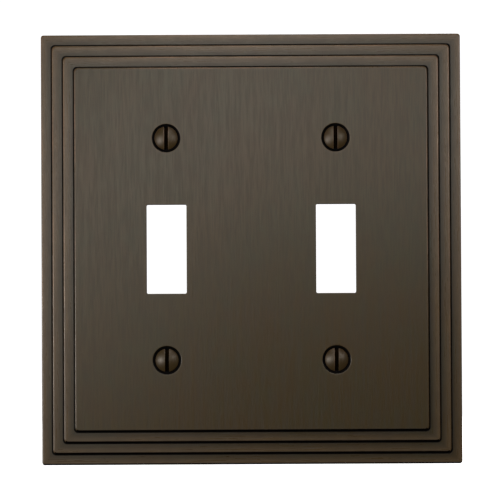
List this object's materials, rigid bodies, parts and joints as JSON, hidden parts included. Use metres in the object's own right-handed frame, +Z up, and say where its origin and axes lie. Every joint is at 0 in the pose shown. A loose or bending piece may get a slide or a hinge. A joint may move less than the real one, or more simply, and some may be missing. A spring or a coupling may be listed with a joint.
{
  "type": "wall plate cover",
  "caption": "Stepped rectangular wall plate cover with toggle switch openings and countersunk oval-head mounting screws, dark bronze finish.",
  "frame": {"origin": "centre of the plate on the wall plane, on the back face of its middle rib", "axes": "+Z up along the switch levers' travel, -Y out of the wall towards the room, +X to the right as seen from the room"},
  "size_m": [0.1142, 0.0135, 0.1172],
  "materials": {
    "dark_bronze": "oil-rubbed dark bronze, brushed, lightly worn to copper on its edges",
    "screw_bronze": "dark bronze, satin"
  },
  "bodies": {
    "plate": {"cover_plate": "dark_bronze"},
    "screw_top_left": {"screw_top_left": "screw_bronze"},
    "screw_top_right": {"screw_top_right": "screw_bronze"},
    "screw_bottom_left": {"screw_bottom_left": "screw_bronze"},
    "screw_bottom_right": {"screw_bottom_right": "screw_bronze"}
  },
  "joints": [
    {"name": "back_out_top_left", "type": "slide", "parent": "plate", "child": "screw_top_left", "axis": [0, -1, 0], "range_m": [0, 0.0145]},
    {"name": "back_out_top_right", "type": "slide", "parent": "plate", "child": "screw_top_right", "axis": [0, -1, 0], "range_m": [0, 0.0145]},
    {"name": "back_out_bottom_left", "type": "slide", "parent": "plate", "child": "screw_bottom_left", "axis": [0, -1, 0], "range_m": [0, 0.0145]},
    {"name": "back_out_bottom_right", "type": "slide", "parent": "plate", "child": "screw_bottom_right", "axis": [0, -1, 0], "range_m": [0, 0.0145]}
  ]
}
